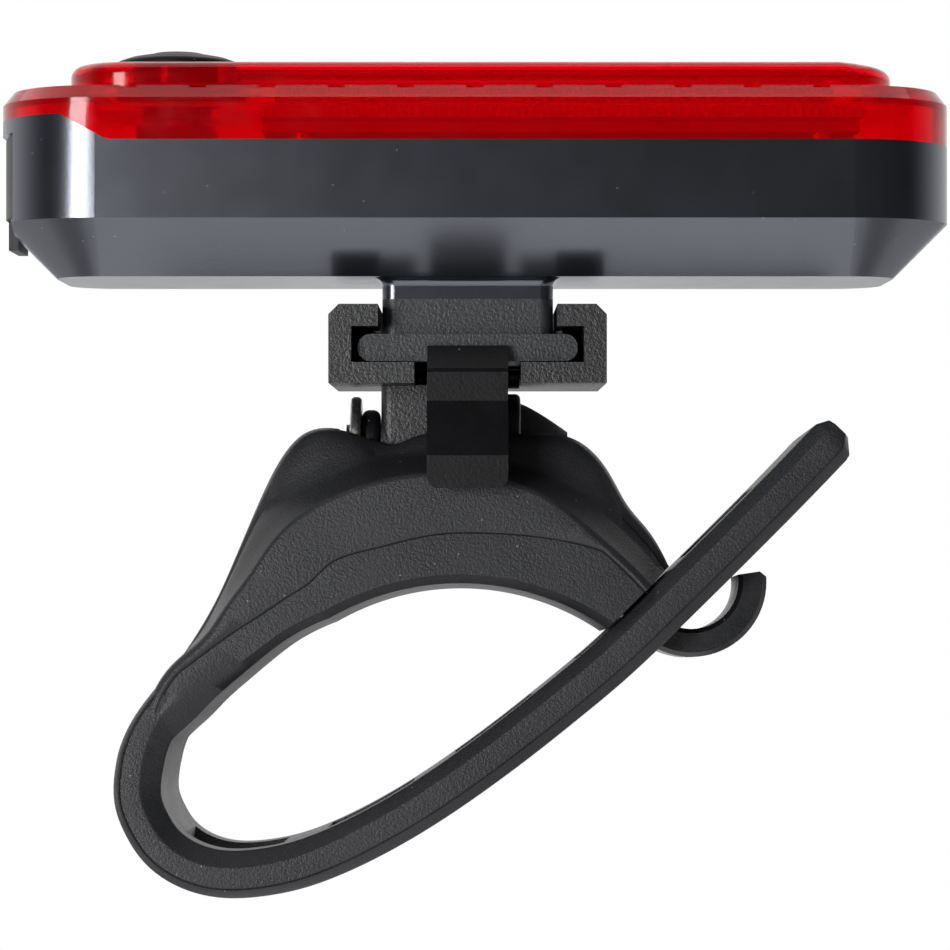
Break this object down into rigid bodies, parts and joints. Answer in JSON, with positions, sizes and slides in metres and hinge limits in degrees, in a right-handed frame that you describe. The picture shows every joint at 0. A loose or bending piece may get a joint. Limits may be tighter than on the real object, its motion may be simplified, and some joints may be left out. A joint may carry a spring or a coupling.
{
  "type": "bike light",
  "caption": "Long rear bicycle light with a red lens, sliding on a bracket that tilts on a rubber saddle with a ladder strap and hook.",
  "frame": {"origin": "crown of the saddle's arch, on the seat post's surface", "axes": "+Z from the seat post towards the lens, +Y along the seat post away from the latch side, +X along the light towards its plain end"},
  "size_m": [0.074, 0.0245, 0.0666],
  "materials": {
    "case": "glossy",
    "red_lens": "clear red",
    "seal": "matt",
    "optic": "clear",
    "white_board": "satin",
    "chip": "satin",
    "green_board": "satin",
    "chip_black": "satin",
    "tin": "satin",
    "steel": "satin",
    "switch": "matt",
    "plunger": "matt",
    "button_rubber": "matt",
    "cover_rubber": "matt",
    "foil": "satin",
    "foam": "matt",
    "wire_red": "satin",
    "wire_black": "satin",
    "plate": "grained",
    "screw_steel": "satin",
    "bracket": "grained",
    "latch": "grained",
    "zinc": "zinc plated",
    "core": "satin",
    "strap_rubber": "matt"
  },
  "bodies": {
    "base": {"saddle_base": "core", "rubber_strap": "strap_rubber", "pivot_screw": "zinc", "pivot_washer": "zinc", "pivot_nut": "zinc"},
    "bracket": {"slide_bracket": "bracket"},
    "latch": {"release_latch": "latch"},
    "light": {"rear_housing": "case", "lens_cover": "red_lens", "lens_seal": "seal", "light_guide": "optic", "led_board": "white_board", "led_chips": "chip", "control_board": "green_board", "board_chips": "chip_black", "board_posts": "tin", "usb_socket": "steel", "switch_body": "switch", "battery_cell": "foil", "battery_pad": "foam", "wire_positive": "wire_red", "wire_negative": "wire_black", "slide_plate": "plate", "plate_screws": "screw_steel"},
    "button": {"mode_button": "button_rubber", "switch_plunger": "plunger"},
    "cover": {"usb_cover": "cover_rubber"}
  },
  "joints": [
    {"name": "tilt", "type": "hinge", "parent": "base", "child": "bracket", "pos_m": [0, 0, 0.01136], "axis": [1, 0, 0], "range_deg": [-28, 12]},
    {"name": "latch_press", "type": "hinge", "parent": "bracket", "child": "latch", "pos_m": [0.00058, 0.00274, 0.01677], "axis": [1, 0, 0], "range_deg": [0, 8], "stiffness_Nm_per_rad": 0.4},
    {"name": "light_slide", "type": "slide", "parent": "bracket", "child": "light", "axis": [0, -0.9988, -0.0489], "range_m": [0, 0.025], "deforming": ["release_latch"]},
    {"name": "button_press", "type": "slide", "parent": "light", "child": "button", "axis": [0, 0.0489, -0.9988], "range_m": [0, 0.0005], "stiffness_N_per_m": 4000},
    {"name": "cover_hinge", "type": "hinge", "parent": "light", "child": "cover", "pos_m": [-0.0349, -0.00113, 0.03438], "axis": [0, 0.9988, 0.0489], "range_deg": [0, 95]}
  ]
}
